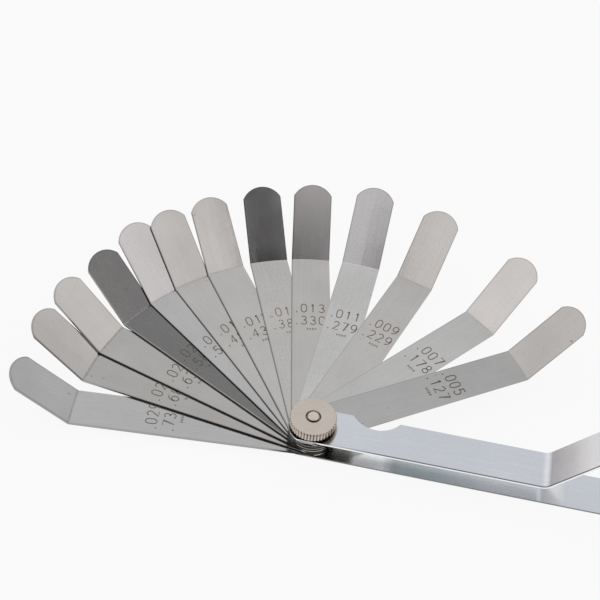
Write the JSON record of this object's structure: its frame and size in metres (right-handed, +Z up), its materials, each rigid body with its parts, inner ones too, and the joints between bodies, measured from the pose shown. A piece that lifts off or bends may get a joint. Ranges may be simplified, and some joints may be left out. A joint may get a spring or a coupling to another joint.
{
  "type": "feeler gauge",
  "caption": "Folding feeler gauge: bent steel blades of stepped thickness fan out of a folded sheet-metal holder and are locked by a knurled nut.",
  "frame": {"origin": "on the pivot's axis at the underside of the bolt's head, which is the resting plane", "axes": "+X along the holder from the pivot, +Z up along the pivot towards the nut, so the blades' bent tips point up; +Y to the side the blades fan out"},
  "size_m": [0.1886, 0.1046, 0.0313],
  "materials": {
    "plated_sheet": "bright nickel-chrome plating on brushed sheet, slightly bluish",
    "blade_steel": "satin rolled spring steel",
    "dark_blade_steel": "dark, oily-looking spring steel",
    "nickel_plating": "warm satin nickel with turning marks"
  },
  "bodies": {
    "holder": {"holder": "plated_sheet", "pivot_bolt": "nickel_plating", "washer": "nickel_plating"},
    "blade_029": {"blade_029": "blade_steel"},
    "blade_027": {"blade_027": "blade_steel"},
    "blade_025": {"blade_025": "blade_steel"},
    "blade_023": {"blade_023": "dark_blade_steel"},
    "blade_021": {"blade_021": "blade_steel"},
    "blade_019": {"blade_019": "blade_steel"},
    "blade_017": {"blade_017": "blade_steel"},
    "blade_015": {"blade_015": "blade_steel"},
    "blade_013": {"blade_013": "blade_steel"},
    "blade_011": {"blade_011": "blade_steel"},
    "blade_009": {"blade_009": "blade_steel"},
    "blade_007": {"blade_007": "blade_steel"},
    "blade_005": {"blade_005": "blade_steel"},
    "nut": {"knurled_nut": "nickel_plating"}
  },
  "joints": [
    {"name": "blade_029_pivot", "type": "hinge", "parent": "holder", "child": "blade_029", "pos_m": [0, 0, 0.005], "axis": [0, 0, 1], "range_deg": [-184.7, 15.3]},
    {"name": "blade_027_pivot", "type": "hinge", "parent": "holder", "child": "blade_027", "pos_m": [0, 0, 0.005], "axis": [0, 0, 1], "range_deg": [-171.9, 28.1]},
    {"name": "blade_025_pivot", "type": "hinge", "parent": "holder", "child": "blade_025", "pos_m": [0, 0, 0.005], "axis": [0, 0, 1], "range_deg": [-162.7, 37.3]},
    {"name": "blade_023_pivot", "type": "hinge", "parent": "holder", "child": "blade_023", "pos_m": [0, 0, 0.005], "axis": [0, 0, 1], "range_deg": [-152.1, 47.9]},
    {"name": "blade_021_pivot", "type": "hinge", "parent": "holder", "child": "blade_021", "pos_m": [0, 0, 0.005], "axis": [0, 0, 1], "range_deg": [-142.6, 57.4]},
    {"name": "blade_019_pivot", "type": "hinge", "parent": "holder", "child": "blade_019", "pos_m": [0, 0, 0.005], "axis": [0, 0, 1], "range_deg": [-134.6, 65.4]},
    {"name": "blade_017_pivot", "type": "hinge", "parent": "holder", "child": "blade_017", "pos_m": [0, 0, 0.005], "axis": [0, 0, 1], "range_deg": [-124.8, 75.2]},
    {"name": "blade_015_pivot", "type": "hinge", "parent": "holder", "child": "blade_015", "pos_m": [0, 0, 0.005], "axis": [0, 0, 1], "range_deg": [-112.7, 87.3]},
    {"name": "blade_013_pivot", "type": "hinge", "parent": "holder", "child": "blade_013", "pos_m": [0, 0, 0.005], "axis": [0, 0, 1], "range_deg": [-101.3, 98.7]},
    {"name": "blade_011_pivot", "type": "hinge", "parent": "holder", "child": "blade_011", "pos_m": [0, 0, 0.005], "axis": [0, 0, 1], "range_deg": [-87.5, 112.5]},
    {"name": "blade_009_pivot", "type": "hinge", "parent": "holder", "child": "blade_009", "pos_m": [0, 0, 0.005], "axis": [0, 0, 1], "range_deg": [-72, 128]},
    {"name": "blade_007_pivot", "type": "hinge", "parent": "holder", "child": "blade_007", "pos_m": [0, 0, 0.005], "axis": [0, 0, 1], "range_deg": [-50.4, 149.6]},
    {"name": "blade_005_pivot", "type": "hinge", "parent": "holder", "child": "blade_005", "pos_m": [0, 0, 0.005], "axis": [0, 0, 1], "range_deg": [-33.8, 166.2]},
    {"name": "nut_turn", "type": "hinge", "parent": "holder", "child": "nut", "pos_m": [0, 0, 0.0115], "axis": [0, 0, 1], "range_deg": [0, 270]}
  ]
}
